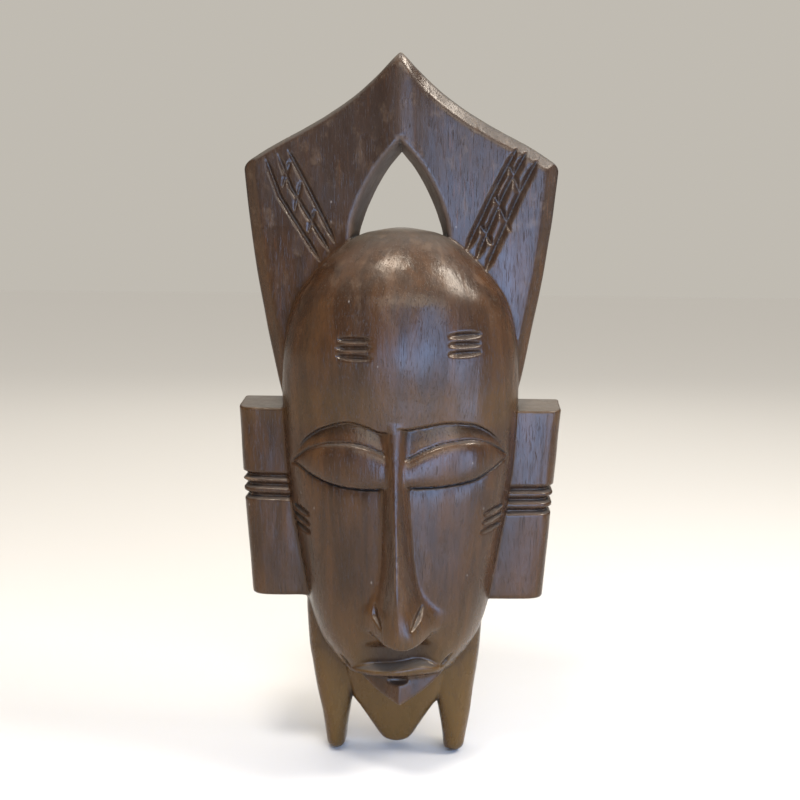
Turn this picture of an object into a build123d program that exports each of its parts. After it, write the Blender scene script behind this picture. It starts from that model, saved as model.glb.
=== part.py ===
from build123d import *
import os

# Carved wooden wall mask: a long face with closed eyes and a narrow nose, a pointed
# crest with a pierced arch above it, a square flap beside each cheek, two prongs and
# a beard below. All the wood is one block, hollowed behind the face. A strap hanger
# with a swinging ring is screwed into a recess in the back.
#
# Millimetres. +X is the viewer's right, -Y is forward and +Z is up. Heights and
# depths in this file are measured from the prong tips and from the flat back. At the
# end everything is moved down so that the origin is where a wall hook bears.

# ---- overall
MASK_HEIGHT = 380.0

# ---- face: (height, half width, depth) of each level, from the jaw to the crown
FACE_LEVELS = [
    (58.0, 32.0, 57.5),
    (66.0, 38.0, 61.0),
    (80.0, 45.3, 62.5),
    (100.0, 50.5, 63.0),
    (130.0, 56.0, 63.5),
    (165.0, 61.0, 65.0),
    (200.0, 63.0, 68.0),
    (228.0, 61.7, 71.5),
    (250.0, 56.3, 69.5),
    (264.0, 47.6, 65.0),
    (276.0, 36.6, 57.5),
    (286.0, 22.5, 48.0),
    (291.0, 8.0, 36.0),
]
FACE_SIDE_DEPTH = 24.0  # its sides run straight forward to here, then round over
EYE_DEPTH = 1.8  # closed lid, below the cheek's surface
SOCKET_DEPTH = 4.8  # hollow under the brow, below the forehead's surface
BROW_EDGE = [(7.5, 188.0), (24.0, 192.2), (42.0, 190.6), (57.0, 172.0)]
LID_EDGE = [(7.5, 175.0), (24.0, 181.6), (42.0, 183.0), (57.0, 172.0)]
LIP_STAND = 2.2  # how far the lips stand out from the face
CUT_REACH = 95.0  # past the deepest point of the mask

# ---- crest
CREST_CORNER = (83.5, 324.0)
CREST_WAIST = (62.0, 195.0)
CREST_RIDGE_DEPTH = 34.0
CREST_EDGE_DEPTH = 19.0
ARCH_APEX_BACK, ARCH_APEX_FRONT = 331.0, 341.0
ARCH_HALF_WIDTH_BACK, ARCH_HALF_WIDTH_FRONT = 22.5, 27.5
ARCH_FOOT = 276.0
# the hatched band on each wing, from its top end to its foot: (x, height) of the
# middle groove, and of the slashes that cross it
BAND_TOP, BAND_FOOT = (67.0, 325.0), (38.0, 268.0)
BAND_HALF_WIDTH = 5.4
BAND_GROOVE_WIDTH, BAND_GROOVE_DEPTH = 2.0, 1.4
BAND_SLASHES = 3

# ---- flaps
FLAP_TOP, FLAP_BOTTOM = 197.5, 91.5
FLAP_TOP_X, FLAP_BOTTOM_X = 87.5, 78.0
FLAP_DEPTH = 32.0
FLAP_EDGE_RADIUS = 9.0
GROOVE_WIDTH, GROOVE_DEPTH, GROOVE_PITCH = 4.6, 2.4, 5.4
GROOVE_HEIGHTS = {-1: 152.4, 1: 146.6}  # middle groove, viewer's left and right

# ---- prongs, beard and chin
PRONG_DEPTH = 27.0
PRONG_TIP_X, PRONG_TIP_RADIUS = 33.2, 5.6
BEARD_DEPTH = 22.0
BEARD_TIP = 4.4
CHIN_TIP, CHIN_HALF_WIDTH = 44.0, 26.0
CHIN_RIDGE_DEPTH, CHIN_EDGE_DEPTH = 62.0, 38.0

# ---- scarification cuts: (x, height, half length, slope in degrees) of the middle
# one of three
SCAR_SETS = [
    (-22.6, 229.2, 9.5, 3.0),
    (33.3, 232.0, 9.2, 0.0),
    (-52.6, 135.9, 5.2, -24.0),
    (48.6, 139.0, 6.0, 16.0),
]
SCAR_PITCH = 4.8
SCAR_WIDTH, SCAR_DEPTH = 4.0, 1.8

# ---- hollow behind the face: (height, half width, depth)
HOLLOW_LEVELS = [
    (76.0, 12.0, 12.0),
    (86.0, 24.0, 26.0),
    (110.0, 35.0, 36.0),
    (150.0, 42.0, 42.0),
    (188.0, 44.0, 46.0),
    (208.0, 36.0, 40.0),
    (220.0, 20.0, 20.0),
]

# ---- hanger and its recess
RECESS_DEPTH = 7.0
RECESS_BOTTOM, RECESS_TOP = 231.0, 277.0
RECESS_HALF_WIDTH = 12.5
PIVOT_HEIGHT = 259.0
SHEET = 1.0  # sheet metal of the strap
WIRE_RADIUS = 1.2
PIVOT_CLEARANCE = 0.1
LOOP_RADIUS = WIRE_RADIUS + PIVOT_CLEARANCE + SHEET
PIVOT_DEPTH = RECESS_DEPTH - LOOP_RADIUS
STRAP_HALF_WIDTH, STRAP_LENGTH = 5.2, 25.0
RING_HALF_WIDTH, RING_DROP, RING_CORNER = 8.0, 14.0, 2.5
RING_REST_ANGLE = 5.0  # the ring hangs on the strap, a little off vertical
SCREW_DROPS = {"upper": 9.0, "lower": 19.0}  # below the pivot
SCREW_RADIUS, SCREW_HOLE_RADIUS = 1.45, 1.6
SCREW_HEAD_RADIUS, SCREW_HEAD_HEIGHT = 3.0, 1.8
SCREW_LENGTH, SCREW_POINT = 13.0, 4.0
SCREW_SLOT_WIDTH, SCREW_SLOT_DEPTH = 0.8, 0.9

# height at which the wall hook carries the swung-up ring: the row's origin
HOOK_HEIGHT = PIVOT_HEIGHT + RING_DROP - WIRE_RADIUS


def front_block(outline, depth):
    """The outline, drawn as (x, height), made solid from the back to this depth."""
    return extrude(Plane.XZ * outline, depth)


def mirrored(half):
    """A half outline from the centreline round to the centreline, and its mirror."""
    return half + half.mirror(Plane.YZ)


def ridge_block(half_width, ridge_depth, edge_depth, low, high):
    """A block whose front is two flats that meet in a ridge at x = 0."""
    section = Polyline(
        (-half_width, 0),
        (half_width, 0),
        (half_width, -edge_depth),
        (0, -ridge_depth),
        (-half_width, -edge_depth),
        close=True,
    )
    return extrude(Plane.XY.offset(low) * make_face(section), high - low)


def face_section(height, half_width, depth):
    """A level of the face: straight sides from the flat back, then half an ellipse."""
    front = -FACE_SIDE_DEPTH
    arc = EllipticalCenterArc(
        (0, front), half_width, depth - FACE_SIDE_DEPTH, start_angle=180, arc_size=180
    )
    back_right, back_left = (half_width, 0), (-half_width, 0)
    sides = [Line(arc @ 1, back_right), Line(back_right, back_left), Line(back_left, arc @ 0)]
    return Plane.XY.offset(height) * make_face([arc, *sides])


def half_ellipse(height, half_width, depth):
    """A level of the hollow: half an ellipse in front of the flat back."""
    arc = EllipticalCenterArc((0, 0), half_width, depth, start_angle=180, arc_size=180)
    return Plane.XY.offset(height) * make_face([arc, Line(arc @ 1, arc @ 0)])


def egg(levels, inset=0.0):
    """The solid through a list of levels, or one that lies inside it by the inset."""
    return loft([face_section(h, w - inset, d - inset) for h, w, d in levels])


def crest_depth(x):
    """Depth of a wing's front at this distance from the centreline."""
    fall = (CREST_RIDGE_DEPTH - CREST_EDGE_DEPTH) / (CREST_CORNER[0] + 4)
    return CREST_RIDGE_DEPTH - fall * abs(x)


def band_groove(start, end):
    """A V-cut in a wing's front between two points given as (x, height)."""
    points = [Vector(x, -crest_depth(x), height) for x, height in (start, end)]
    run = points[1] - points[0]
    half = BAND_GROOVE_WIDTH / 2
    vee = Polyline((-half, 0), (0, -BAND_GROOVE_DEPTH), (half, 0), (0, half), close=True)
    across = Vector(0, -1, 0).cross(run)
    section = Plane(origin=points[0], x_dir=across, z_dir=run)
    return extrude(section * make_face(vee), run.length)


def hatched_band():
    """The three long grooves of the right wing's band, and its slashes."""
    top, foot = Vector(*BAND_TOP), Vector(*BAND_FOOT)
    along = (foot - top).normalized()
    across = Vector(-along.Y, along.X) * BAND_HALF_WIDTH
    length = (foot - top).length
    cuts = []
    for step in (-1, 0, 1):
        start, end = top + across * step, foot + across * step
        cuts.append(band_groove((start.X, start.Y), (end.X, end.Y)))
    for index in range(BAND_SLASHES):
        middle = top + along * (length * (index + 0.75) / (BAND_SLASHES + 0.5))
        lean = across * 1.1 - along * 1.3 * BAND_HALF_WIDTH
        start, end = middle - lean, middle + lean
        cuts.append(band_groove((start.X, start.Y), (end.X, end.Y)))
    return cuts


def crest():
    corner_x, corner_height = CREST_CORNER
    waist_x, waist_height = CREST_WAIST
    sweep_up = Spline(
        (corner_x, corner_height),
        (45.5, 345.2),
        (0, MASK_HEIGHT),
        tangents=[(-1.0, 0.46), (-1.0, 1.05)],
    )
    flank = Spline(
        (waist_x, waist_height),
        (72.5, 244.0),
        (80.5, 296.0),
        (corner_x, corner_height),
    )
    foot = Line((0, waist_height), (waist_x, waist_height))
    half = make_face([foot, flank, sweep_up, Line((0, MASK_HEIGHT), (0, waist_height))])
    plate = front_block(mirrored(half), CREST_RIDGE_DEPTH)
    slopes = ridge_block(
        corner_x + 4, CREST_RIDGE_DEPTH, CREST_EDGE_DEPTH, waist_height, MASK_HEIGHT + 1
    )
    wings = (plate & slopes) - arch()
    for cut in hatched_band():
        wings -= cut
        wings -= cut.mirror(Plane.YZ)
    return wings


def lancet(half_width, apex, depth):
    """The pointed arch's outline in the plane at this depth."""
    shoulder = (0.66 * half_width, ARCH_FOOT + 0.62 * (apex - ARCH_FOOT))
    side = Spline(
        (half_width, ARCH_FOOT), shoulder, (0, apex), tangents=[(0, 1), (-0.62, 1)]
    )
    half = make_face([Line((0, ARCH_FOOT), side @ 0), side, Line(side @ 1, (0, ARCH_FOOT))])
    return Plane.XZ.offset(depth) * mirrored(half)


def arch():
    """The opening through the crest, wider in front than behind."""
    overshoot = 0.1
    return loft(
        [
            lancet(ARCH_HALF_WIDTH_BACK, ARCH_APEX_BACK, -overshoot),
            lancet(ARCH_HALF_WIDTH_FRONT, ARCH_APEX_FRONT, CREST_RIDGE_DEPTH + overshoot),
        ]
    )


def flap(side):
    outline = make_face(
        Polyline(
            (0, FLAP_BOTTOM),
            (side * FLAP_BOTTOM_X, FLAP_BOTTOM),
            (side * FLAP_TOP_X, FLAP_TOP),
            (0, FLAP_TOP),
            close=True,
        )
    )
    block = front_block(outline, FLAP_DEPTH)
    outer = block.edges().filter_by(Axis.Y, reverse=True).filter_by(Axis.X, reverse=True)
    outer_front = outer.group_by(Axis.Y)[0].sort_by(Axis.X)[-1 if side > 0 else 0]
    block = fillet(outer_front, FLAP_EDGE_RADIUS)
    for step in (-1, 0, 1):
        block -= flap_groove(side, GROOVE_HEIGHTS[side] + step * GROOVE_PITCH)
    return block


def flap_groove(side, height):
    """A V-cut across the front of a flap."""
    overshoot = 1.0
    front = -FLAP_DEPTH
    vee = make_face(
        Polyline(
            (front - overshoot, height - 0.7 * GROOVE_WIDTH),
            (front - overshoot, height + 0.7 * GROOVE_WIDTH),
            (front + GROOVE_DEPTH, height),
            close=True,
        )
    )
    return extrude(Plane.YZ * vee, side * (FLAP_TOP_X + overshoot))


def prong(side):
    outer = Spline((50.0, 100.0), (44.8, 50.0), (PRONG_TIP_X + PRONG_TIP_RADIUS, 6.0))
    tip = ThreePointArc(
        (PRONG_TIP_X + PRONG_TIP_RADIUS, 6.0), (PRONG_TIP_X, 0), (PRONG_TIP_X - PRONG_TIP_RADIUS, 6.0)
    )
    inner = Spline(tip @ 1, (24.6, 26.0), (20.0, 60.0))
    top = Polyline(inner @ 1, (20.0, 100.0), outer @ 0)
    block = front_block(make_face([outer, tip, inner, top]), PRONG_DEPTH)
    return block if side > 0 else block.mirror(Plane.YZ)


def beard():
    side = Spline(
        (0, BEARD_TIP), (12.0, 14.0), (24.0, 34.0), tangents=[(1, 0), (0.3, 1)]
    )
    half = make_face([side, Polyline(side @ 1, (26.0, 62.0), (0, 62.0), side @ 0)])
    return front_block(mirrored(half), BEARD_DEPTH)


def chin():
    outline = make_face(
        Polyline(
            (-CHIN_HALF_WIDTH, 62.0), (0, CHIN_TIP), (CHIN_HALF_WIDTH, 62.0), close=True
        )
    )
    slopes = ridge_block(CHIN_HALF_WIDTH, CHIN_RIDGE_DEPTH, CHIN_EDGE_DEPTH, CHIN_TIP, 62.0)
    return front_block(outline, CHIN_RIDGE_DEPTH) & slopes


def nose():
    """Triangular levels, (height, half width, depth), that flare at the nostrils."""
    levels = [
        (192.0, 6.5, 66.0),
        (150.0, 8.0, 73.0),
        (104.0, 9.5, 79.0),
        (88.0, 14.5, 80.0),
        (78.0, 17.5, 78.0),
        (72.0, 14.0, 70.0),
    ]
    root = 30.0
    faces = []
    for height, half_width, depth in levels:
        section = Polyline(
            (-half_width, -root),
            (-half_width, -0.8 * depth),
            (0, -depth),
            (half_width, -0.8 * depth),
            (half_width, -root),
            close=True,
        )
        faces.append(Plane.XY.offset(height) * make_face(section))
    return loft(faces, ruled=True)


def lens(half_length, half_width):
    """An almond outline with its corners on the x axis."""
    left, right = (-half_length, 0), (half_length, 0)
    upper = ThreePointArc(left, (0, half_width), right)
    return make_face([upper, ThreePointArc(right, (0, -half_width), left)])


def half_almond(side, upper_edge):
    """An eye's outline, cut off by the nose; its upper edge is (x, height) points."""
    inner, outer = upper_edge[0], upper_edge[-1]
    upper = Spline(*[(side * x, height) for x, height in upper_edge])
    lower = Spline(
        (side * outer[0], outer[1]), (side * 35.0, 158.8), (side * inner[0], 156.5)
    )
    return make_face([upper, lower, Line(lower @ 1, upper @ 0)])


def eye_cut(side, socket_level, lid_level):
    """What is carved away round one eye: a hollow under the brow, and less of the lid."""
    socket = front_block(half_almond(side, BROW_EDGE), CUT_REACH)
    lid = front_block(half_almond(side, LID_EDGE), CUT_REACH)
    return socket - socket_level - (lid & lid_level)


def lip(level):
    """A band across the mouth that stands out from the face."""
    band = Pos(0, 63.0) * lens(25.0, 3.4)
    return front_block(band, CUT_REACH) & level


def philtrum():
    """The hollow between the nose and the lip."""
    profile = make_face(
        Polyline((-90.0, 66.0), (-90.0, 73.5), (-55.0, 71.0), (-52.0, 66.0), close=True)
    )
    return extrude(Plane.YZ * profile, 19.0, both=True)


def scar(x, height, half_length, slope, floor):
    """A lens-shaped cut whose floor follows the face's surface."""
    outline = Pos(x, height) * (Rot(0, 0, slope) * lens(half_length, SCAR_WIDTH / 2))
    return front_block(outline, CUT_REACH) - floor


def face():
    head = egg(FACE_LEVELS)
    lid_level = egg(FACE_LEVELS, EYE_DEPTH)
    socket_level = egg(FACE_LEVELS, SOCKET_DEPTH)
    for side in (-1, 1):
        head -= eye_cut(side, socket_level, lid_level)
    head = head + nose() + chin()
    head = head - philtrum() + lip(egg(FACE_LEVELS, -LIP_STAND))
    scar_floor = egg(FACE_LEVELS, SCAR_DEPTH)
    for x, height, half_length, slope in SCAR_SETS:
        for step in (-1, 0, 1):
            head -= scar(x, height + step * SCAR_PITCH, half_length, slope, scar_floor)
    return head


def hanger_recess():
    opening = Rectangle(2 * RECESS_HALF_WIDTH, RECESS_TOP - RECESS_BOTTOM)
    opening = fillet(opening.vertices(), 4.0)
    middle = (RECESS_TOP + RECESS_BOTTOM) / 2
    return front_block(Pos(0, middle) * opening, RECESS_DEPTH)


def hanger_strap():
    """A sheet folded over the ring's bar, its two plies screwed down together."""
    back_ply = -RECESS_DEPTH
    outer_ply = -RECESS_DEPTH + 2 * SHEET
    loop_y = -PIVOT_DEPTH
    pinch = -4.2
    plies = make_face(
        Polyline(
            (back_ply, 0),
            (loop_y + LOOP_RADIUS, 0),
            (loop_y + LOOP_RADIUS - 0.1, -0.9),
            (outer_ply, pinch),
            (outer_ply, -STRAP_LENGTH),
            (back_ply, -STRAP_LENGTH),
            close=True,
        )
    )
    bore = WIRE_RADIUS + PIVOT_CLEARANCE
    gap = make_face(
        Polyline(
            (loop_y - bore, 0), (loop_y + bore, 0), (back_ply + SHEET, pinch + 0.6), close=True
        )
    )
    profile = plies + Pos(loop_y, 0) * Circle(LOOP_RADIUS) - Pos(loop_y, 0) * Circle(bore) - gap
    strap = extrude(Plane.YZ * profile, STRAP_HALF_WIDTH, both=True)
    rounded_end = Pos(0, -STRAP_LENGTH + STRAP_HALF_WIDTH) * Circle(STRAP_HALF_WIDTH)
    length_above_end = STRAP_LENGTH - STRAP_HALF_WIDTH + LOOP_RADIUS
    body = Pos(0, LOOP_RADIUS - length_above_end / 2) * Rectangle(2 * STRAP_HALF_WIDTH, length_above_end)
    strap &= front_block(rounded_end + body, RECESS_DEPTH)
    for drop in SCREW_DROPS.values():
        strap -= front_block(Pos(0, -drop) * Circle(SCREW_HOLE_RADIUS), RECESS_DEPTH)
    return Pos(0, 0, PIVOT_HEIGHT) * strap


def hanger_ring():
    """A wire ring: a straight bar in the strap's loop, and a round bottom."""
    bar_half = RING_HALF_WIDTH - RING_CORNER
    bar = Line((-bar_half, 0), (bar_half, 0))
    corner_right = JernArc(bar @ 1, bar % 1, RING_CORNER, -90)
    right = Line(corner_right @ 1, (RING_HALF_WIDTH, RING_HALF_WIDTH - RING_DROP))
    bottom = JernArc(right @ 1, right % 1, RING_HALF_WIDTH, -180)
    left = Line(bottom @ 1, (-RING_HALF_WIDTH, -RING_CORNER))
    corner_left = JernArc(left @ 1, left % 1, RING_CORNER, -90)
    path = Wire([bar, corner_right, right, bottom, left, corner_left])
    flat_ring = sweep(Plane(origin=bar @ 0.5, z_dir=bar % 0.5) * Circle(WIRE_RADIUS), path=path)
    hanging = Rot(RING_REST_ANGLE, 0, 0) * (Rot(90, 0, 0) * flat_ring)
    return Pos(0, -PIVOT_DEPTH, PIVOT_HEIGHT) * hanging


def hanger_screw(drop):
    """A pan-head slotted wood screw, driven forward through the strap."""
    seat = -RECESS_DEPTH + 2 * SHEET
    profile = make_face(
        Polyline(
            (0, SCREW_HEAD_HEIGHT),
            (0.55 * SCREW_HEAD_RADIUS, SCREW_HEAD_HEIGHT),
            (0.9 * SCREW_HEAD_RADIUS, 0.62 * SCREW_HEAD_HEIGHT),
            (SCREW_HEAD_RADIUS, 0),
            (SCREW_RADIUS, 0),
            (SCREW_RADIUS, -SCREW_LENGTH + SCREW_POINT),
            (0, -SCREW_LENGTH),
            close=True,
        )
    )
    screw = revolve(Plane.XZ * profile, Axis.Z)
    slot = Pos(0, 0, SCREW_HEAD_HEIGHT) * Box(
        2.2 * SCREW_HEAD_RADIUS, SCREW_SLOT_WIDTH, 2 * SCREW_SLOT_DEPTH
    )
    screw -= Rot(0, 0, 20 + 3 * drop) * slot
    return Pos(0, seat, PIVOT_HEIGHT - drop) * (Rot(-90, 0, 0) * screw)


def carved_body(screws):
    wood = crest() + flap(-1) + flap(1) + prong(-1) + prong(1) + beard() + face()
    hollow = loft([half_ellipse(*level) for level in HOLLOW_LEVELS])
    wood = wood - hollow - hanger_recess()
    for screw in screws:
        wood -= screw
    return wood


def main():
    os.makedirs("parts", exist_ok=True)
    screws = {name: hanger_screw(drop) for name, drop in SCREW_DROPS.items()}
    nodes = {
        "carved_body": carved_body(screws.values()),
        "hanger_strap": hanger_strap(),
        "hanger_ring": hanger_ring(),
    }
    for name, screw in screws.items():
        nodes["hanger_screw_" + name] = screw
    for name, shape in nodes.items():
        export_step(Pos(0, 0, -HOOK_HEIGHT) * shape, f"parts/{name}.step")


main()
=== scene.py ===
"""The looks of a carved wooden wall mask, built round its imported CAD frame.

The wood is sculpted as a distance field in numpy: smooth blocks joined, carved and
incised the way a carver does, then meshed. The hanger keeps its CAD shapes.
"""

import math

import bpy
import numpy as np
import openvdb
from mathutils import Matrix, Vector


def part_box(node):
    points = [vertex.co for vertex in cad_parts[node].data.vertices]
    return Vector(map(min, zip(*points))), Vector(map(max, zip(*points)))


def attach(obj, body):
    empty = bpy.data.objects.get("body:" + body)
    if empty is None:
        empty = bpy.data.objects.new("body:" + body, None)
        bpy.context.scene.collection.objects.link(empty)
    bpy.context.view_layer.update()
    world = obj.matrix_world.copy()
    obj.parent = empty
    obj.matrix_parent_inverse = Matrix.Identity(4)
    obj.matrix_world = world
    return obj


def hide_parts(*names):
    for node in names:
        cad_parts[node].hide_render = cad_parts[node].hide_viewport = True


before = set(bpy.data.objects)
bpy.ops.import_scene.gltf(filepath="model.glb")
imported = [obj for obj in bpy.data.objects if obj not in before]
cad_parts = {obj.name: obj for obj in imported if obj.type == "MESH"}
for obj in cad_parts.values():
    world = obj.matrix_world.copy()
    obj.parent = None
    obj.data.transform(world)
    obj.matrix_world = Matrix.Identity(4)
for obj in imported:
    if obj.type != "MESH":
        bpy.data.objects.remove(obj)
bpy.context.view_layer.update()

MM = 0.001
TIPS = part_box("carved_body")[0][2]  # height of the prong tips in the row frame

# =====================================================================
# Sculpting tools. The wood's own coordinates are millimetres: x to the
# viewer's right, d forward from the flat back, z up from the prong tips.
# Every field is negative inside the wood and roughly a distance.
# =====================================================================


def curve(*points):
    """A smooth function through (position, value) points, level past its ends."""
    at, value = np.array(points, float).T
    step = np.diff(value) / np.diff(at)
    slope = np.concatenate([step[:1], np.zeros(len(at) - 2), step[-1:]])
    same = step[:-1] * step[1:] > 0
    total = np.where(same, step[:-1] + step[1:], 1.0)
    slope[1:-1] = np.where(same, 2 * step[:-1] * step[1:] / total, 0.0)
    fine = np.linspace(at[0], at[-1], 1200)
    k = np.clip(np.searchsorted(at, fine, side="right") - 1, 0, len(at) - 2)
    width = at[k + 1] - at[k]
    u = (fine - at[k]) / width
    rise = value[k] + (value[k + 1] - value[k]) * u * u * (3 - 2 * u)
    bend = width * u * (1 - u) * (slope[k] * (1 - u) - slope[k + 1] * u)
    made = rise + bend
    return lambda q: np.interp(q, fine, made).astype(np.float32)


def join(a, b, radius):
    """Union of two fields with a fillet."""
    near = np.maximum(radius - np.abs(a - b), 0) / radius
    return np.minimum(a, b) - near * near * radius / 4


def meet(a, b, radius):
    """Intersection of two fields with a rounded edge."""
    return -join(-a, -b, radius)


def cut(a, b, radius):
    """What is left of a when b is carved out of it, with a rounded rim."""
    return meet(a, -b, radius)


def by_side(x, left, right):
    return np.where(x < 0, left, right)


def ramp(value, low, high):
    """0 below low, 1 above high, smooth between."""
    u = np.clip((value - low) / (high - low), 0, 1)
    return u * u * (3 - 2 * u)


def lattice_noise(x, d, z, pitch, seed):
    """Smooth noise from -1 to 1 on a lattice of this pitch (one for each axis)."""
    table = np.random.default_rng(seed).uniform(-1, 1, (32, 32, 32)).astype(np.float32)
    total = 0.0
    parts = []
    for value, size in zip((x, d, z), pitch):
        cell = np.floor(value / size)
        u = value / size - cell
        parts.append((cell.astype(np.int32) & 31, u * u * (3 - 2 * u)))
    for corner in range(8):
        weight = 1.0
        index = []
        for axis, (cell, u) in enumerate(parts):
            up = corner >> axis & 1
            index.append((cell + up) & 31)
            weight = weight * (u if up else 1 - u)
        total = total + weight * table[tuple(index)]
    return total


# =====================================================================
# The crest, flaps, prongs and beard
# =====================================================================

CREST_SHIFT = -1.1  # the crest's centreline against the face's
CREST_HALF_WIDTH = curve(
    (195, 62.0), (211, 66.0), (244, 72.6), (270, 77.2), (296, 80.7), (322, 83.6)
)
CREST_TOP = curve((0, 380.0), (12, 368.5), (26, 356.8), (45, 344.8), (68, 332.6), (84, 322.8))
CREST_FRONT = curve((0, 35.0), (5, 34.3), (12, 31.8), (24, 28.6), (50, 24.6), (84, 21.2))
WINDOW_TAPER = 30.0  # depth over which the window widens
WINDOW_BACK_TOP, WINDOW_FRONT_TOP = 331.0, 334.5
WINDOW_BACK = curve((0, 0), (9, 7.2), (22, 14.6), (35, 20.0), (45, 22.6), (60, 23.0))
WINDOW_FRONT = curve((0, 0), (9, 8.6), (20, 16.0), (32, 21.8), (44, 25.2), (60, 26.0))


def crest(x, d, z):
    """The pointed plate: two wings that meet in a ridge, bevelled round, and pierced."""
    across = x - CREST_SHIFT
    out = np.abs(across)
    side = (out - CREST_HALF_WIDTH(z)) * 0.985
    round_out = np.sqrt(out * out + 0.6)
    top_slope = np.where(out < 14, 0.72, np.where(out < 40, 0.83, 0.89))
    top = (z - CREST_TOP(round_out)) * top_slope
    front = CREST_FRONT(out)
    face = (d - front) * 0.98
    flank_bevel = (d - front + 5.5 + side * 0.85) * 0.76
    right = ramp(across, -5, 14)
    drop, width = 1.8 + 2.0 * right, 2.6 + 3.4 * right
    top_bevel = (d - front + drop + top * drop / width) * 0.82
    body = meet(side, top, 3.5)
    body = meet(body, face, 1.8)
    body = meet(body, flank_bevel, 1.2)
    body = meet(body, top_bevel, 0.9)
    body = np.maximum(body, 190 - z)
    return cut(body, window(across, d, z), 3.0)


def window(across, d, z):
    """The pierced arch, wider and higher in front than behind."""
    forward = np.clip(d / WINDOW_TAPER, 0, 1.1)
    apex = WINDOW_BACK_TOP + (WINDOW_FRONT_TOP - WINDOW_BACK_TOP) * forward
    below = apex - z
    half = WINDOW_BACK(below) * (1 - forward) + WINDOW_FRONT(below) * forward
    sides = (np.abs(across) - half) * 0.86
    return np.maximum(np.maximum(sides, -below * 0.7), 268 - z)


BANDS = {  # grooves of the hatched bands, each ((x, z) of its top, (x, z) of its foot)
    "left": (
        ((-72.6, 327.0), (-64.6, 306.0), (-42.6, 272.0)),
        ((-66.0, 329.0), (-58.5, 310.5), (-37.5, 277.0)),
        ((-60.6, 331.0), (-51.5, 314.5), (-34.6, 281.5)),
    ),
    "right": (
        ((70.7, 326.0), (61.0, 307.0), (44.0, 267.5)),
        ((65.0, 330.0), (54.5, 310.5), (39.2, 274.0)),
        ((60.0, 332.0), (48.0, 309.0), (33.6, 278.0)),
    ),
}
SLASHES = {
    "left": (
        ((-58.5, 326.5), (-63.2, 310.0)),
        ((-52.8, 316.0), (-56.8, 297.5)),
        ((-45.2, 300.5), (-49.6, 286.5)),
    ),
    "right": (
        ((55.0, 326.0), (63.0, 305.0)),
        ((47.4, 309.5), (57.2, 288.5)),
        ((40.0, 294.0), (48.5, 280.5)),
    ),
}


def stroke(x, z, points, half_width, depth, pointed):
    """How deep a V-cut along a run of (x, z) points goes. Its ends fade if pointed."""
    lengths = [math.dist(a, b) for a, b in zip(points, points[1:])]
    total = sum(lengths)
    gone = 0.0
    deepest = np.zeros_like(x)
    for (ax, az), (bx, bz), length in zip(points, points[1:], lengths):
        ux, uz = (bx - ax) / length, (bz - az) / length
        along = (x - ax) * ux + (z - az) * uz
        aside = np.abs((x - ax) * uz - (z - az) * ux)
        over = np.maximum(np.maximum(-along, along - length), 0)
        place = np.clip((along + gone) / total, 0, 1)
        fade = np.clip(np.minimum(place, 1 - place) * total / pointed, 0.0, 1.0) ** 0.6
        away = np.sqrt(aside * aside + over * over)
        wide = half_width * np.maximum(fade, 0.15)
        deepest = np.maximum(deepest, depth * fade * np.clip(1 - away / wide, 0, 1))
        gone += length
    return deepest


def crest_incisions(x, z):
    depth = np.zeros_like(x)
    for grooves, slashes, half, deep in (
        (BANDS["left"], SLASHES["left"], 1.8, 2.0),
        (BANDS["right"], SLASHES["right"], 2.6, 2.8),
    ):
        for points in grooves:
            depth = np.maximum(depth, stroke(x, z, points, half, deep, 7.0))
        for points in slashes:
            depth = np.maximum(depth, stroke(x, z, points, half * 0.95, deep * 0.9, 5.0))
    return depth


FLAP_BACK_TOP, FLAP_BOTTOM = 197.6, 91.3
FLAP_LEFT = curve((88, 79.2), (147, 84.2), (197, 87.0))
FLAP_RIGHT = curve((88, 77.4), (147, 82.3), (197, 86.3))
FLAP_DEPTH = 32.0
FLAP_GROOVES = {"left": (157.7, 152.8, 146.9), "right": (152.4, 146.8, 140.8)}


def flaps(x, d, z):
    """The square plate beside each cheek, with three grooves across its front."""
    out = np.abs(x)
    edge = (out - by_side(x, FLAP_LEFT(z), FLAP_RIGHT(z))) * 0.998
    front = FLAP_DEPTH - 0.05 * np.maximum(out - 60, 0)
    face = d - front
    top = z - (FLAP_BACK_TOP - 0.09 * d)
    bottom = FLAP_BOTTOM + 0.03 * d - z
    body = meet(edge, face, 9.0)
    body = meet(body, top, 1.6)
    body = meet(body, bottom, 2.2)
    groove = np.zeros_like(body)
    for side, heights in FLAP_GROOVES.items():
        here = x < 0 if side == "left" else x > 0
        for height in heights:
            aside = np.abs(z - height - 0.012 * (out - 70))
            deep = 2.6 * np.clip(1 - aside / 2.2, 0, 1)
            groove = np.maximum(groove, np.where(here, deep, 0))
    skin = ramp(-np.maximum(edge, face), 6.0, 3.5)
    return body + groove * skin


PRONG_OUT_LEFT = curve(
    (0, 39.4), (8, 40.4), (22, 42.2), (36, 44.9), (50, 47.2), (64, 49.4), (84, 50.4)
)
PRONG_OUT_RIGHT = curve(
    (0, 36.6), (8, 37.6), (22, 39.6), (36, 41.2), (50, 43.0), (64, 44.5), (84, 45.7)
)
PRONG_IN = curve((0, 27.6), (8, 27.0), (15, 26.1), (29, 23.7), (60, 17.0))
PRONG_FRONT = curve((0, 21.0), (20, 23.0), (50, 26.5), (92, 30.0))


def prongs(x, d, z):
    out = np.abs(x)
    outer = out - by_side(x, PRONG_OUT_LEFT(z), PRONG_OUT_RIGHT(z))
    inner = by_side(x, 2.2, -2.2) + PRONG_IN(z) - out
    strip = meet(outer * 0.99, inner * 0.98, 3.0)
    strip = meet(strip, 0.3 - z, 5.0)
    body = meet(strip, d - PRONG_FRONT(z), 9.0)
    return np.maximum(body, z - 110)


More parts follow.
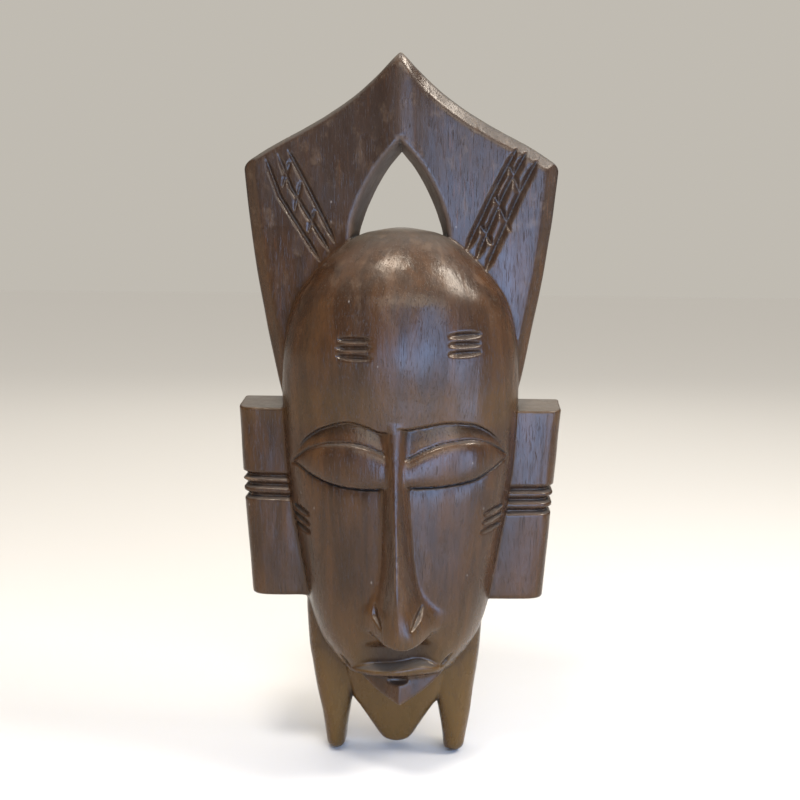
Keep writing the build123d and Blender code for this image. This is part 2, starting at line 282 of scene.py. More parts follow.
BEARD_HALF = curve(
    (4.0, 2.6), (5.6, 6.4), (9, 9.4), (14, 12.4), (20.5, 16.3), (27.5, 20.5), (34, 24.8), (50, 27.5)
)
BEARD_FRONT = curve((4, 15.0), (20, 20.5), (40, 28.0), (60, 36.0))


def beard(x, d, z):
    out = np.abs(x + 1.2)
    side = (out - BEARD_HALF(z)) * 0.8
    crown = 0.004 * out * out
    body = meet(side, (d - BEARD_FRONT(z) + crown) * 0.95, 5.0)
    body = meet(body, 4.4 - z, 3.0)
    return np.maximum(body, z - 100)


# =====================================================================
# The face
# =====================================================================

FACE_HALF = curve(
    (40, 12), (50, 24.5), (54, 28.5), (60, 33.6), (66, 38.2), (75, 43.6), (90, 48.4),
    (105, 51.4), (124, 54.9), (140, 57.8), (155, 59.8), (165, 61), (190, 62.6), (205, 63),
    (222, 62.4), (238, 60.0), (252.7, 55.2), (264, 47.6), (276, 36.6), (284, 26.5),
    (288, 18.5), (291, 8),
)
FACE_DEPTH = curve(
    (40, 54), (57, 59.5), (66, 61.5), (80, 62.5), (100, 63), (130, 63.5), (165, 65),
    (188, 66.5), (200, 68), (228, 71.5), (250, 69.5), (268, 63), (280, 54.5), (288, 44),
    (291, 36),
)
FACE_FOOT = 57.0  # the face ends here, behind the lips
FACE_BASE = 24.0  # the face's sides run straight forward to here, then round over
FACE_ROUND = 2.15


def face_level(x, d, z):
    forward = np.maximum(d - FACE_BASE, 0) / (FACE_DEPTH(z) - FACE_BASE)
    across = np.abs(x) / FACE_HALF(z)
    return (across**FACE_ROUND + forward**FACE_ROUND) ** (1 / FACE_ROUND)


def smooth_face(x, d, z):
    """The face as a smooth egg, before its features are carved."""
    small = 0.4
    level = face_level(x, d, z)
    gx = face_level(x + small, d, z) - level
    gd = face_level(x, d + small, z) - level
    gz = face_level(x, d, z + small) - level
    steep = np.sqrt(gx * gx + gd * gd + gz * gz) / small
    shell = (level - 1) / np.maximum(steep, 0.006)
    shell = meet(shell, z - 291.6 + 0.17 * np.maximum(40 - d, 0), 3.0)
    return np.maximum(shell, FACE_FOOT - z)


BROW = {
    "left": curve(
        (6, 187.2), (9, 187.5), (16, 190.2), (25, 192.2), (37, 189.2), (46.5, 183.6),
        (54, 174.2), (57.5, 168),
    ),
    "right": curve(
        (6, 189.0), (12, 190.2), (25.7, 192.4), (37, 191.6), (45, 188.4), (52.6, 181.4),
        (57.5, 172.6),
    ),
}
LID_TOP = {
    "left": curve(
        (6, 175.6), (10, 177.2), (16, 179.4), (25, 180.8), (35.6, 180.0), (45.7, 176.4),
        (54.4, 169.6), (57.5, 167),
    ),
    "right": curve(
        (6, 173.4), (14, 177.6), (24.4, 181.2), (37, 182.6), (46, 180.6), (54.3, 175.2),
        (57.5, 171.6),
    ),
}
LID_FOOT = {
    "left": curve(
        (6, 158.2), (16, 157.6), (25, 158.1), (35, 159.8), (46, 164.0), (54.4, 168.0), (57.5, 167)
    ),
    "right": curve(
        (6, 159.0), (18.5, 159.3), (30.3, 160.6), (40, 162.6), (48.6, 167.0), (56, 171.4),
        (57.5, 171.6),
    ),
}
BROW_RECESS, LID_LINE_RECESS = 4.8, 0.5  # the socket's depth under the brow and at the lid
LID_BULGE = 3.2
EYE_TILT = 0.93  # height to distance, on a surface that leans


def eye_relief(x, z):
    """How far below the smooth face the carved surface lies round the eyes."""
    out = np.abs(x)
    brow = by_side(x, BROW["left"](out), BROW["right"](out))
    top = by_side(x, LID_TOP["left"](out), LID_TOP["right"](out))
    foot = by_side(x, LID_FOOT["left"](out), LID_FOOT["right"](out))
    outer_fade = 1 - ramp(out, 38, 56)
    below_brow = (brow - z) * EYE_TILT
    above_lid = (z - top) * EYE_TILT
    share = np.clip(below_brow / np.maximum(below_brow + above_lid, 0.5), 0, 1)
    socket = BROW_RECESS * (1 - share) + LID_LINE_RECESS * share
    socket = socket * (0.12 + 0.88 * outer_fade) * ramp(below_brow, -0.3, 1.5)
    under = (top - z) * EYE_TILT
    over = (z - foot) * EYE_TILT
    bulge = LID_BULGE * (1 - np.exp(-np.maximum(under, 0) / 4.4))
    bulge = bulge * (1 - np.exp(-(np.maximum(over, 0) + 0.9) / 1.8))
    lid = LID_LINE_RECESS * np.exp(-np.maximum(under, 0) / 1.6)
    lid = lid - bulge * (0.3 + 0.7 * outer_fade)
    below_lid = (foot - z) * EYE_TILT
    cheek = (1.4 * np.exp(-np.maximum(below_lid, 0) / 4.5)) * (0.25 + 0.75 * outer_fade)
    relief = np.where(above_lid > 0, socket, np.where(over > 0, lid, cheek))
    inside = np.where(below_brow > -0.2, 1.0, 0.0) * (1 - ramp(out, 56.3, 58.0))
    lid_line = 1.2 * np.clip(1 - np.abs(above_lid) / 0.9, 0, 1)
    foot_line = 0.9 * np.clip(1 - np.abs(below_lid - 0.5) / 0.9, 0, 1)
    return (relief + (lid_line + foot_line) * (1 - ramp(out, 54, 57.5))) * inside


# each scar: (x, z) of its middle, half length, slope of its line
SCARS = (
    (-21.9, 234.0, 8.6, 0.0), (-21.9, 229.8, 9.4, 0.02), (-21.9, 225.3, 9.4, -0.03),
    (33.5, 236.7, 8.4, 0.04), (33.5, 232.2, 8.2, 0.0), (33.5, 227.7, 8.6, 0.05),
    (-50.6, 142.4, 5.2, -0.42), (-50.9, 137.4, 5.6, -0.45), (-50.4, 132.6, 5.2, -0.42),
    (49.6, 144.0, 5.4, 0.34), (49.0, 139.4, 5.6, 0.36), (48.4, 134.4, 5.8, 0.30),
)


def scar_relief(x, z):
    """How deep the lens-shaped cuts on the forehead and the cheeks go."""
    depth = np.zeros_like(x)
    for middle_x, middle_z, half_length, slope in SCARS:
        stretch = math.hypot(1, slope)
        along = ((x - middle_x) + (z - middle_z) * slope) / stretch
        aside = ((z - middle_z) - (x - middle_x) * slope) / stretch
        taper = np.clip(1 - (along / half_length) ** 2, 0, 1) ** 0.5
        wide = 0.5 + 1.6 * taper
        depth = np.maximum(depth, 2.3 * taper * np.clip(1 - np.abs(aside) / wide, 0, 1))
    return depth


NOSE_MIDDLE = curve((76, 3.2), (86, 2.6), (100, 1.2), (120, 0.5), (150, -0.4), (190, -1.3))
NOSE_RIDGE = curve(
    (70, 74), (78, 79.4), (88, 80.8), (105, 80.0), (125, 77.5), (154, 73.0), (178, 68.6),
    (188, 66.8), (196, 66.2),
)
NOSE_HALF = curve(
    (72, 17), (80, 20.5), (86, 22.5), (91, 22.0), (97, 18.5), (103, 15.4), (110, 13.6),
    (125, 12.2), (154, 12.4), (190, 12.6),
)
NOSE_TOP = curve((70, 7.0), (80, 5.6), (88, 3.2), (98, 0.9), (130, 0.5), (160, 1.1), (190, 2.4))
ALA_CREASES = (
    ((-11.2, 98.5), (-10.2, 92.5), (-6.6, 86.0)),
    ((13.6, 98.0), (11.2, 92.5), (8.0, 86.5)),
)
NOSE_ROOT = 56.0  # depth at which the nose has its full width


def nose(x, d, z):
    """A long wedge that widens to the nostrils, each behind a curved crease."""
    aside = np.abs(x - NOSE_MIDDLE(z))
    ridge, half, flat = NOSE_RIDGE(z), NOSE_HALF(z), NOSE_TOP(z)
    rise, run = ridge - NOSE_ROOT, half - flat
    size = np.sqrt(rise * rise + run * run)
    wall = ((aside - flat) * rise + (d - ridge) * run) / size
    body = meet(wall, (d - ridge) * 0.97, 1.3 + 6.0 * ramp(z, 104, 88))
    underside = 76.6 + 0.12 * (78 - d) + 0.013 * aside * aside - z
    body = meet(body, underside, 2.6)
    body = meet(body, z - 190.5, 1.0)
    for points in ALA_CREASES:
        body = body + stroke(x, z, points, 2.2, 2.4, 6.0)
    return body


def ellipsoid(x, d, z, centre, radii):
    """The field of an ellipsoid, close to a distance near its surface."""
    px, pd, pz = ((v - c) for v, c in zip((x, d, z), centre))
    rx, rd, rz = radii
    near = np.sqrt((px / rx) ** 2 + (pd / rd) ** 2 + (pz / rz) ** 2)
    steep = np.sqrt((px / rx**2) ** 2 + (pd / rd**2) ** 2 + (pz / rz**2) ** 2)
    return near * (near - 1) / np.maximum(steep, 1e-3)


LIP_MIDDLE = curve((-26, 57.8), (-17, 59.3), (-6, 59.7), (4, 60.4), (12, 61.3), (24, 59.8))
LIP_HALF = curve((-26, 0.8), (-16, 1.5), (-4, 1.7), (2, 2.2), (12, 2.8), (20, 2.1), (26, 0.9))
LIP_STAND = 2.4  # how far the lips stand out
CORNER_CREASES = (((-23.5, 58.5), (-30, 66.0)), ((22.5, 60.5), (29.5, 68.5)))
PHILTRUM_DEPTH = 6.0


def philtrum(x, z):
    """The hollow between the nose and the lips, 1 where it is deepest."""
    half = LIP_HALF(x)
    up = z - LIP_MIDDLE(x)
    hollow = ramp(up, half * 0.7, half + 2.4) * (1 - ramp(up, 12.0, 19.0))
    return hollow * (1 - ramp(np.abs(x - 1), 7, 25))


def mouth_relief(x, z):
    """The hollow over the lips as positive depth, and the lips as negative."""
    half = LIP_HALF(x)
    up = z - LIP_MIDDLE(x)
    band = np.clip(1 - (up / (half + 0.5)) ** 2, 0, 1)
    lips = -LIP_STAND * band**0.6 * (1 - ramp(np.abs(x), 20, 27))
    creases = 0.0
    for points in CORNER_CREASES:
        creases = creases + stroke(x, z, points, 1.4, 1.5, 5.0)
    return PHILTRUM_DEPTH * philtrum(x, z) + lips + creases


CHIN_TIP = (2.2, 44.2)
CHIN_EDGE = curve((0, 0.0), (6, 2.6), (12, 5.5), (18, 9.4), (23, 14.2), (26, 18.5))


def chin(x, d, z):
    """A shield of two flat facets under the lips."""
    aside = x - CHIN_TIP[0]
    out = np.abs(aside)
    drop = 61.5 - z
    face = (d - (60.4 - 0.44 * np.sqrt(out * out + 0.6) + 0.14 * drop)) * 0.9
    edge = (CHIN_TIP[1] + CHIN_EDGE(out) - z + 0.16 * (54 - d)) * 0.8
    body = meet(face, edge, 0.9)
    body = np.maximum(body, z - 60)
    return cut(body, chin_notch(x, d, z), 0.6)


def chin_notch(x, d, z):
    """The small gouge under the middle of the lips."""
    return ellipsoid(x, d, z, (0.8, 60.8, 55.8), (7.5, 3.4, 2.4))


def carved_face(x, d, z):
    face = smooth_face(x, d, z)
    relief = eye_relief(x, z) + scar_relief(x, z) + mouth_relief(x, z)
    front_only = ramp(d, 26, 32)
    face = face + relief * front_only
    face = join(face, nose(x, d, z), 1.5 + 2.5 * ramp(z, 110, 90))
    return join(face, chin(x, d, z), 0.7)


# =====================================================================
# The back
# =====================================================================

HOLLOW_LOW, HOLLOW_HIGH = 76, 221
HOLLOW_HALF = curve(
    (HOLLOW_LOW, 8), (84, 22), (96, 30), (120, 37), (150, 42), (188, 43.5), (206, 37),
    (216, 24), (HOLLOW_HIGH, 8),
)
HOLLOW_DEPTH = curve(
    (HOLLOW_LOW, 8), (84, 24), (110, 37), (150, 42), (188, 45), (206, 40), (216, 24),
    (HOLLOW_HIGH, 6),
)
RECESS_HALF, RECESS_CORNER = 12.5, 4.0
RECESS_LOW, RECESS_HIGH, RECESS_DEPTH = 231.0, 277.0, 7.0


def hollow(x, d, z):
    """The bowl behind the face, with a gouge's long scallops."""
    level = np.sqrt((x / HOLLOW_HALF(z)) ** 2 + (np.maximum(d, 0) / HOLLOW_DEPTH(z)) ** 2)
    scallop = 0.8 * np.abs(np.sin(x * 0.34 + 0.6 * np.sin(z * 0.09))) * ramp(d, 2, 10)
    bowl = (level - 1) * np.minimum(HOLLOW_HALF(z), HOLLOW_DEPTH(z)) * 0.8 + scallop
    return np.maximum(bowl, np.maximum(HOLLOW_LOW - z, z - HOLLOW_HIGH))


def hanger_recess(x, d, z):
    middle, half = (RECESS_LOW + RECESS_HIGH) / 2, (RECESS_HIGH - RECESS_LOW) / 2
    qx = np.abs(x) - RECESS_HALF + RECESS_CORNER
    qz = np.abs(z - middle) - half + RECESS_CORNER
    outline = np.hypot(np.maximum(qx, 0), np.maximum(qz, 0)) - RECESS_CORNER
    outline = outline + np.minimum(np.maximum(qx, qz), 0)
    return np.maximum(outline, d - RECESS_DEPTH)


def wood(x, d, z):
    """The whole carving."""
    body = crest(x, d, z) + crest_incisions(x, z) * ramp(d, 12, 18)
    body = join(body, flaps(x, d, z), 0.8)
    low = join(prongs(x, d, z), beard(x, d, z), 0.8)
    body = join(body, low, 4.0)
    body = join(body, carved_face(x, d, z), 0.9)
    wave = lattice_noise(x, d, z, (17, 17, 30), 3) * 0.28
    wave = wave + lattice_noise(x, d, z, (6, 6, 14), 5) * 0.10
    body = body + wave * ramp(d, 2, 8)
    body = cut(body, hollow(x, d, z), 1.5)
    body = cut(body, hanger_recess(x, d, z), 0.5)
    return meet(body, -d, 1.2)


def painted_mouth_shade(x, d, z):
    """1 where shade is painted on the wood: in the hollow over the lips and in the chin's gouge."""
    front = ramp(d, 40, 48)
    over_lips = philtrum(x, z) * ramp(z - LIP_MIDDLE(x) - LIP_HALF(x), 0.5, 2.5)
    return front * np.maximum(over_lips, ramp(chin_notch(x, d, z), 1.2, 0.2))


def unwaxed(x, d, z):
    """1 on the surfaces that the carver left rough: the back and the window's walls."""
    pierced = ramp(np.abs(window(x - CREST_SHIFT, d, z)), 2.5, 0.8)
    pierced = pierced * ramp(smooth_face(x, d, z), 0.3, 1.5)
    scooped = np.minimum(np.abs(hollow(x, d, z)), np.abs(hanger_recess(x, d, z)))
    return np.maximum(np.maximum(pierced, ramp(scooped, 2.0, 0.8)), ramp(d, 1.6, 0.5))


# =====================================================================
# Meshing
# =====================================================================

VOXEL = 0.8
BLOCK = 4  # voxels along a block that is looked at as one
MARGIN = 5.0


def to_frame(points):
    """Wood coordinates in millimetres to the row frame in metres."""
    x, d, z = points.T
    return np.stack([x * MM, -d * MM, z * MM + TIPS], axis=1)


def sample_wood():
    """The field on a grid, worked out only in the blocks near the surface."""
    low = np.array([-90.0 - MARGIN, -MARGIN, -MARGIN])
    high = np.array([90.0 + MARGIN, 84.0 + MARGIN, 380.0 + MARGIN])
    blocks = np.ceil((high - low) / (VOXEL * BLOCK)).astype(int)
    cell = VOXEL * BLOCK
    centres = [low[a] + (np.arange(blocks[a]) + 0.5) * cell for a in range(3)]
    grid = np.meshgrid(*centres, indexing="ij")
    rough = wood(*(g.ravel().astype(np.float32) for g in grid)).reshape(blocks)
    field = np.repeat(np.repeat(np.repeat(rough, BLOCK, 0), BLOCK, 1), BLOCK, 2)
    near = np.argwhere(np.abs(rough) < cell * 0.87 + 2.5)
    inner = np.stack(np.meshgrid(*[np.arange(BLOCK)] * 3, indexing="ij"), -1).reshape(-1, 3)
    for part in np.array_split(near, max(1, len(near) // 8000)):
        index = (part[:, None, :] * BLOCK + inner[None]).reshape(-1, 3)
        place = (low + (index + 0.5) * VOXEL).astype(np.float32)
        field[tuple(index.T)] = wood(place[:, 0], place[:, 1], place[:, 2])
    return low, np.clip(field / VOXEL, -3, 3).astype(np.float32)


def slope_of(points, reach):
    """Direction of the field's steepest rise at each point, and the rise itself."""
    parts = []
    for axis in range(3):
        shift = np.zeros(3, np.float32)
        shift[axis] = reach
        ahead, behind = points + shift, points - shift
        parts.append((wood(*ahead.T) - wood(*behind.T)) / (2 * reach))
    return np.stack(parts, axis=1)


def wood_mesh():
    """The wood's points, its quads, and what the material needs to know at each point."""
    low, field = sample_wood()
    grid = openvdb.FloatGrid(3.0)
    grid.copyFromArray(field, tolerance=0.0)
    points, quads = grid.convertToQuads(0.0)
    points = (low + (points + 0.5) * VOXEL).astype(np.float32)
    for _ in range(2):
        slope = slope_of(points, 0.3)
        value = wood(*points.T)
        step = value[:, None] * slope / np.maximum((slope**2).sum(1), 0.2)[:, None]
        points = points - np.clip(step, -0.4 * VOXEL, 0.4 * VOXEL)
    slope = slope_of(points, 0.5)
    normal = slope / np.linalg.norm(slope, axis=1)[:, None]
    reach = 2.2
    values = {
        "edge": np.clip(1 + wood(*(points - normal * reach).T) / reach, 0, 1),
        "pit": np.clip(1 - wood(*(points + normal * reach).T) / reach, 0, 1),
        # how hemmed in the point is by nearby wood, used for painted shade
        "occlusion_shade": np.clip(1 - wood(*(points + normal * 3 * reach).T) / (3 * reach), 0, 1),
        "raw": unwaxed(*points.T),
        # where shade is painted over the lips and in the chin's gouge
        "mouth_shade": painted_mouth_shade(*points.T),
    }
    return to_frame(points), quads[:, ::-1], values


def mesh_object(name, points, quads, values):
    mesh = bpy.data.meshes.new(name)
    mesh.vertices.add(len(points))
    mesh.vertices.foreach_set("co", points.astype(np.float32).ravel())
    mesh.loops.add(quads.size)
    mesh.loops.foreach_set("vertex_index", quads.astype(np.int32).ravel())
    mesh.polygons.add(len(quads))
    mesh.polygons.foreach_set("loop_start", np.arange(0, quads.size, 4, dtype=np.int32))
    mesh.update(calc_edges=True)
    mesh.validate()
    mesh.polygons.foreach_set("use_smooth", np.ones(len(mesh.polygons), bool))
    for key, value in values.items():
        attribute = mesh.attributes.new(key, "FLOAT", "POINT")
        attribute.data.foreach_set("value", value.astype(np.float32))
    piece = bpy.data.objects.new(name, mesh)
    bpy.context.scene.collection.objects.link(piece)
    return piece


# =====================================================================
# Materials
# =====================================================================


class Nodes:
    """A material's node tree, built one short line at a time."""

    def __init__(self, name):
        self.material = bpy.data.materials.new(name)
        self.material.use_nodes = True
        self.tree = self.material.node_tree
        self.shader = self.tree.nodes["Principled BSDF"]

    def add(self, kind, inputs=None, **settings):
        node = self.tree.nodes.new("ShaderNode" + kind)
        for key, value in settings.items():
            setattr(node, key, value)
        for key, value in (inputs or {}).items():
            self.feed(node.inputs[key], value)
        return node

    def feed(self, socket, value):
        if isinstance(value, bpy.types.NodeSocket):
            self.tree.links.new(value, socket)
        else:
            socket.default_value = value

    def place(self, scale):
        """Object coordinates in millimetres, divided by a size for each axis."""
        coords = self.add("TexCoord").outputs["Object"]
        factors = tuple(1000.0 / size for size in scale)
        return self.add("Mapping", {"Vector": coords, "Scale": factors}).outputs["Vector"]

    def noise(self, scale, detail=3.0, rough=0.5, twist=0.0):
        inputs = {"Vector": self.place(scale), "Scale": 1.0, "Detail": detail}
        inputs.update({"Roughness": rough, "Distortion": twist})
        return self.add("TexNoise", inputs).outputs["Fac"]

    def spread(self, value, low, high, to_low=0.0, to_high=1.0):
        inputs = {"Value": value, "From Min": low, "From Max": high}
        inputs.update({"To Min": to_low, "To Max": to_high})
        made = self.add("MapRange", inputs, interpolation_type="SMOOTHSTEP")
        return made.outputs["Result"]

    def math(self, operation, a, b=0.0):
        made = self.add("Math", {0: a, 1: b}, operation=operation)
        return made.outputs["Value"]

    def mix(self, factor, a, b):
        made = self.add("Mix", data_type="RGBA")
        self.feed(made.inputs["Factor"], factor)
        self.feed(made.inputs["A"], a if isinstance(a, bpy.types.NodeSocket) else (*a, 1))
        self.feed(made.inputs["B"], b if isinstance(b, bpy.types.NodeSocket) else (*b, 1))
        return made.outputs["Result"]

    def attribute(self, name):
        return self.add("Attribute", attribute_name=name).outputs["Fac"]

    def height(self):
        """Millimetres above the prong tips."""
        coords = self.add("TexCoord").outputs["Object"]
        z = self.add("SeparateXYZ", {"Vector": coords}).outputs["Z"]
        return self.math("MULTIPLY", self.math("SUBTRACT", z, TIPS), 1000.0)

    def forward(self):
        """Millimetres in front of the flat back."""
        coords = self.add("TexCoord").outputs["Object"]
        y = self.add("SeparateXYZ", {"Vector": coords}).outputs["Y"]
        return self.math("MULTIPLY", y, -1000.0)

    def facing_up(self):
        """1 where the surface faces straight up, 0 where it is upright."""
        normal = self.add("TexCoord").outputs["Normal"]
        return self.add("SeparateXYZ", {"Vector": normal}).outputs["Z"]

    def bump(self, height, strength, distance, under=None):
        inputs = {"Height": height, "Strength": strength, "Distance": distance}
        if under is not None:
            inputs["Normal"] = under
        return self.add("Bump", inputs).outputs["Normal"]


# The stain's dark tone, also the colour of painted shade in hollows.
DARK_STAIN_AND_SHADE = (0.024, 0.0108, 0.0050)
BROWN_STAIN = (0.049, 0.0200, 0.0072)
CREST_STAIN = (0.026, 0.0165, 0.0115)
RED_STREAK = (0.112, 0.039, 0.012)
HONEY = (0.108, 0.052, 0.0105)
WORN_EDGE = (0.22, 0.136, 0.075)
# Pale tone of end grain, also painted light on surfaces that face up.
END_GRAIN_AND_TOP_LIGHT = (0.095, 0.084, 0.065)
ROUGH_BACK = (0.115, 0.070, 0.040)
CHIP = (0.55, 0.45, 0.34)
# Near black for the grain's pores, also painted shade in cuts and narrow hollows.
PORE_DARK_AND_SHADE = (0.010, 0.007, 0.005)


def stained_wood():
    """Dark stained, waxed hardwood whose grain runs up the mask."""
    made = Nodes("stained_wood")
    fine = made.noise((0.9, 0.9, 26), 4.0, 0.6)
    broad = made.noise((11, 11, 70), 4.0, 0.6, 0.8)
    patch = made.noise((34, 34, 60), 3.0, 0.6)
    pores = made.spread(made.noise((0.42, 0.42, 7.5), 2.0, 0.5), 0.60, 0.72)
    colour = made.mix(made.spread(broad, 0.32, 0.70), DARK_STAIN_AND_SHADE, BROWN_STAIN)
    aloft = made.spread(made.height(), 262.0, 305.0)
    aloft = made.math("MULTIPLY", aloft, made.spread(made.forward(), 46.0, 34.0))
    colour = made.mix(made.math("MULTIPLY", aloft, 0.65), colour, CREST_STAIN)
    red = made.math("MULTIPLY", made.spread(fine, 0.54, 0.72), made.spread(patch, 0.40, 0.66))
    colour = made.mix(made.math("MULTIPLY", red, 0.42), colour, RED_STREAK)
    chin_dark = made.spread(made.forward(), 31.0, 39.0)
    chin_dark = made.math("MULTIPLY", chin_dark, made.spread(made.height(), 61.0, 57.5))
    low_down = made.spread(made.height(), 112.0, 22.0)
    low_down = made.math("MULTIPLY", low_down, made.math("SUBTRACT", 1.0, chin_dark))
    over_brow = made.spread(made.height(), 183.0, 193.0)
    over_brow = made.math("MULTIPLY", over_brow, made.spread(made.height(), 216.0, 202.0))
    gold = made.math("MULTIPLY", low_down, 0.80)
    gold = made.math("ADD", gold, made.math("MULTIPLY", over_brow, 0.16))
    gold = made.math("MULTIPLY", gold, made.spread(fine, 0.15, 0.75, 0.7, 1.0))
    colour = made.mix(gold, colour, HONEY)
    # Painted shade: wood hemmed in by nearby wood is painted darker.
    occlusion_shade = made.spread(made.attribute("occlusion_shade"), 0.12, 0.60)
    colour = made.mix(made.math("MULTIPLY", occlusion_shade, 0.42), colour, DARK_STAIN_AND_SHADE)
    colour = made.mix(made.math("MULTIPLY", pores, 0.65), colour, PORE_DARK_AND_SHADE)
    raw = made.attribute("raw")
    colour = made.mix(made.math("MULTIPLY", raw, 0.5), colour, ROUGH_BACK)
    # Up-facing surfaces are painted paler: partly end grain, partly painted light from above.
    top = made.spread(made.facing_up(), 0.60, 0.99)
    top = made.math("MULTIPLY", top, made.math("SUBTRACT", 1.0, raw))
    colour = made.mix(made.math("MULTIPLY", top, 0.55), colour, END_GRAIN_AND_TOP_LIGHT)
    # Painted light: a pale lit band along the crest's top bevel.
    rim = made.spread(made.facing_up(), 0.3, 0.6)
    rim = made.math("MULTIPLY", rim, made.spread(made.height(), 316.0, 323.0))
    colour = made.mix(made.math("MULTIPLY", rim, 0.6), colour, END_GRAIN_AND_TOP_LIGHT)
    rub = made.noise((3.5, 3.5, 9), 4.0, 0.65)
    scuff = made.math("MULTIPLY", made.spread(made.noise((9, 9, 12), 5.0, 0.7), 0.52, 0.70), 0.16)
    scuff = made.math("MULTIPLY", scuff, made.spread(made.height(), 215.0, 270.0))
    colour = made.mix(scuff, colour, WORN_EDGE)
    worn = made.spread(made.attribute("edge"), 0.42, 0.85)
    worn = made.math("MULTIPLY", worn, made.spread(rub, 0.35, 0.62))
    colour = made.mix(made.math("MULTIPLY", worn, 0.55), colour, WORN_EDGE)
    # Painted shade: the hollow over the lips and the chin's gouge are painted dark.
    mouth_shade = made.math("MULTIPLY", made.attribute("mouth_shade"), 0.9)
    colour = made.mix(mouth_shade, colour, DARK_STAIN_AND_SHADE)
    # Painted shade: cuts and narrow hollows are painted near black.
    deep = made.spread(made.attribute("pit"), 0.30, 0.85)
    colour = made.mix(made.math("MULTIPLY", deep, 0.85), colour, PORE_DARK_AND_SHADE)
    flecks = made.add("TexVoronoi", {"Vector": made.place((6.5, 6.5, 11)), "Scale": 1.0})
    spot = made.spread(flecks.outputs["Distance"], 0.085, 0.05)
    chance = made.spread(made.noise((22, 22, 30), 2.0), 0.56, 0.64)
    chip = made.math("MULTIPLY", spot, chance)
    colour = made.mix(made.math("MULTIPLY", chip, 0.22), colour, CHIP)
    made.feed(made.shader.inputs["Base Color"], colour)
    rough = made.spread(made.noise((9, 9, 22), 4.0, 0.6), 0.25, 0.75, 0.19, 0.34)
    dull = made.math("MULTIPLY", made.math("MAXIMUM", deep, top), 0.5)
    dull = made.math("MAXIMUM", made.math("MAXIMUM", raw, dull), made.math("MULTIPLY", rim, 0.8))
    rough = made.math("ADD", rough, made.math("MULTIPLY", dull, 0.40))
    rough = made.math("ADD", rough, made.math("MULTIPLY", pores, 0.12))
    made.feed(made.shader.inputs["Roughness"], rough)
    shine = made.math("SUBTRACT", 0.36, made.math("MULTIPLY", rim, 0.27))
    made.feed(made.shader.inputs["Specular IOR Level"], shine)
    made.feed(made.shader.inputs["Specular Tint"], (1.0, 0.86, 0.70, 1.0))
    tooling = made.bump(made.noise((5, 5, 16), 2.0), 0.5, 0.0005)
    fibre = made.bump(fine, 0.35, 0.00022, tooling)
    surface = made.bump(made.math("SUBTRACT", 1.0, pores), 0.5, 0.00022, fibre)
    made.feed(made.shader.inputs["Normal"], surface)
    return made.material


def plated(name, bright, dull, tarnish, roughness):
    """Plated steel: mottled, handled, with fine scratches."""
    made = Nodes(name)
    mottle = made.spread(made.noise((2.2, 2.2, 2.2), 5.0, 0.65), 0.35, 0.68)
    colour = made.mix(mottle, bright, dull)
    spots = made.spread(made.noise((0.9, 0.9, 0.9), 3.0, 0.6, 0.5), 0.60, 0.74)
    colour = made.mix(made.math("MULTIPLY", spots, 0.6), colour, tarnish)
    made.feed(made.shader.inputs["Base Color"], colour)
    made.feed(made.shader.inputs["Metallic"], 1.0)
    scratches = made.noise((0.12, 0.5, 3.5), 2.0, 0.5)
    rough = made.spread(scratches, 0.3, 0.7, roughness, roughness + 0.16)
    rough = made.math("ADD", rough, made.math("MULTIPLY", spots, 0.18))
    made.feed(made.shader.inputs["Roughness"], rough)
    dents = made.bump(made.noise((1.6, 1.6, 1.6), 2.0), 0.25, 0.00010)
    made.feed(made.shader.inputs["Normal"], made.bump(scratches, 0.30, 0.00005, dents))
    return made.material


def plain(name, colour, roughness):
    material = bpy.data.materials.new(name)
    material.use_nodes = True
    shader = material.node_tree.nodes["Principled BSDF"]
    shader.inputs["Base Color"].default_value = (*colour, 1)
    shader.inputs["Roughness"].default_value = roughness
    return material


carving = mesh_object("mask_carving", *wood_mesh())
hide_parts("carved_body")
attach(carving, "mask")
carving.data.materials.append(stained_wood())

ZINC = plated("hanger_steel", (0.62, 0.62, 0.60), (0.44, 0.43, 0.41), (0.20, 0.15, 0.10), 0.24)
BRASSED = plated("screw_steel", (0.66, 0.52, 0.28), (0.47, 0.37, 0.20), (0.17, 0.11, 0.06), 0.26)
HANGER_FINISH = {
    "hanger_strap": ZINC,
    "hanger_ring": ZINC,
    "hanger_screw_upper": BRASSED,
    "hanger_screw_lower": BRASSED,
}
for node, finish in HANGER_FINISH.items():
    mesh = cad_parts[node].data
    mesh.materials.clear()
    mesh.materials.append(finish)

# =====================================================================
# Camera, floor and lights
# =====================================================================


def aim(thing, target):
    thing.rotation_euler = (target - thing.location).to_track_quat("-Z", "Y").to_euler()


def place(azimuth, elevation, distance, target):
    """A point seen from the target at these angles: azimuth 0 is in front."""
    a, e = math.radians(azimuth), math.radians(elevation)
    away = Vector((math.sin(a) * math.cos(e), -math.cos(a) * math.cos(e), math.sin(e)))
    return target + away * distance


target = Vector((0, -0.030, TIPS + 0.1995))
lens = bpy.data.cameras.new("camera")
lens.sensor_width = 36.0
lens.lens = 59.3
camera = bpy.data.objects.new("camera", lens)
camera.location = place(2.0, 7.0, 0.70, target)
aim(camera, target)
camera.rotation_euler.rotate_axis("Z", math.radians(0.5))
bpy.context.scene.collection.objects.link(camera)
bpy.context.scene.camera = camera


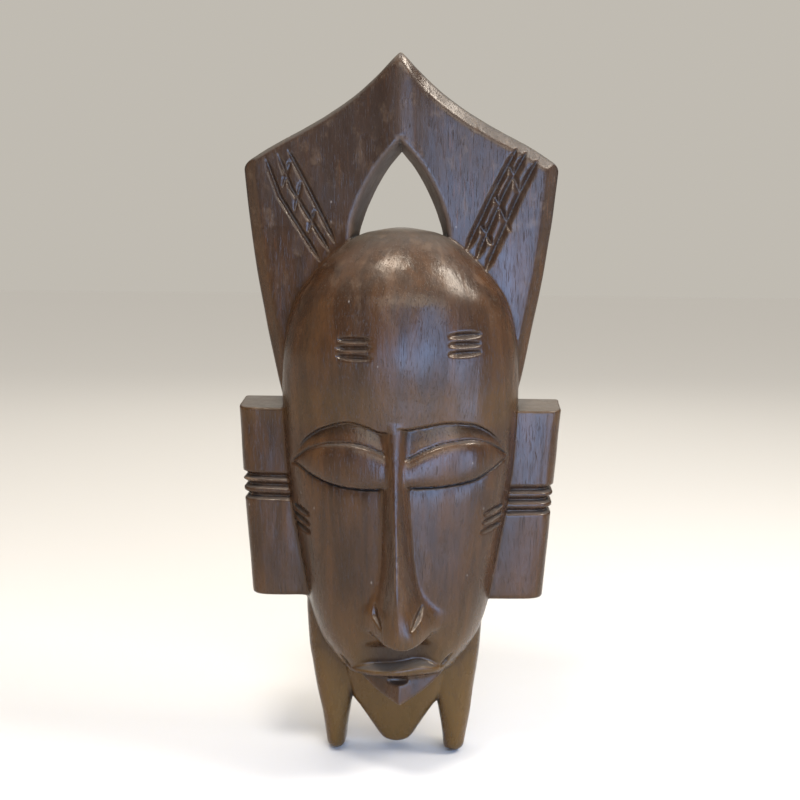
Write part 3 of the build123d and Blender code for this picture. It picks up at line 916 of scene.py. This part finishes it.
# each light: where it stands from the middle (azimuth, elevation, metres), its size,
# its watts and its colour
LIGHTS = {
    "window": (8, -4, 0.62, (0.34, 0.27), 3.9, (0.24, 0.46, 1.0)),
    "window_top": (24, 11, 0.62, (0.24, 0.22), 1.3, (0.25, 0.47, 1.0)),
    "window_side": (46, -5, 0.62, (0.24, 0.25), 2.3, (0.25, 0.47, 1.0)),
    "lamp_middle": (-15, 65, 1.2, (0.24, 0.22), 11.0, (0.98, 0.97, 0.96)),
    "lamp_right": (74, 48, 1.2, (0.34, 0.30), 13.5, (0.98, 0.98, 0.98)),
    "upper_wall": (12, 27, 1.5, (1.5, 0.46), 10.5, (0.94, 0.97, 1.0)),
    "room_left": (-82, 8, 1.4, (0.7, 1.0), 2.2, (1.0, 0.60, 0.31)),
    "room_right": (92, 8, 1.4, (0.6, 1.0), 0.9, (1.0, 0.90, 0.80)),
    "behind": (180, 35, 1.6, (1.2, 1.2), 4.0, (1.0, 0.97, 0.93)),
}


def area_light(name, azimuth, elevation, distance, size, power, colour):
    middle = Vector((0, -0.03, TIPS + 0.19))
    data = bpy.data.lights.new(name, "AREA")
    data.shape = "RECTANGLE"
    data.size, data.size_y = size
    data.energy = power
    data.color = colour
    light = bpy.data.objects.new(name, data)
    light.location = place(azimuth, elevation, distance, middle)
    aim(light, middle)
    bpy.context.scene.collection.objects.link(light)


for name, settings in LIGHTS.items():
    area_light(name, *settings)

overhead = bpy.data.lights.new("overhead", "SUN")
overhead.energy = 2.3
overhead.angle = math.radians(100)
sky = bpy.data.objects.new("overhead", overhead)
bpy.context.scene.collection.objects.link(sky)

world = bpy.data.worlds.new("studio")
world.use_nodes = True
background = world.node_tree.nodes["Background"]
# a plain backdrop as bright as the far floor; as a light it is dimmer
background.inputs["Color"].default_value = (1.0, 0.942, 0.84, 1)
seen = world.node_tree.nodes.new("ShaderNodeLightPath")
dimmer = world.node_tree.nodes.new("ShaderNodeMapRange")
dimmer.inputs["To Min"].default_value = 0.16
dimmer.inputs["To Max"].default_value = 0.528
world.node_tree.links.new(seen.outputs["Is Camera Ray"], dimmer.inputs["Value"])
world.node_tree.links.new(dimmer.outputs["Result"], background.inputs["Strength"])
bpy.context.scene.world = world

FLOOR_REACH, FLOOR_GAP = 6.0, 0.0005
floor_mesh = bpy.data.meshes.new("floor")
corners = [(x * FLOOR_REACH, y * FLOOR_REACH, 0) for x, y in ((-1, -1), (1, -1), (1, 1), (-1, 1))]
floor_mesh.from_pydata(corners, [], [(0, 1, 2, 3)])
floor = bpy.data.objects.new("floor", floor_mesh)
floor.location.z = TIPS - FLOOR_GAP
floor_mesh.materials.append(plain("floor_paint", (0.58, 0.545, 0.49), 0.8))
bpy.context.scene.collection.objects.link(floor)

bpy.context.scene.view_settings.view_transform = "Standard"
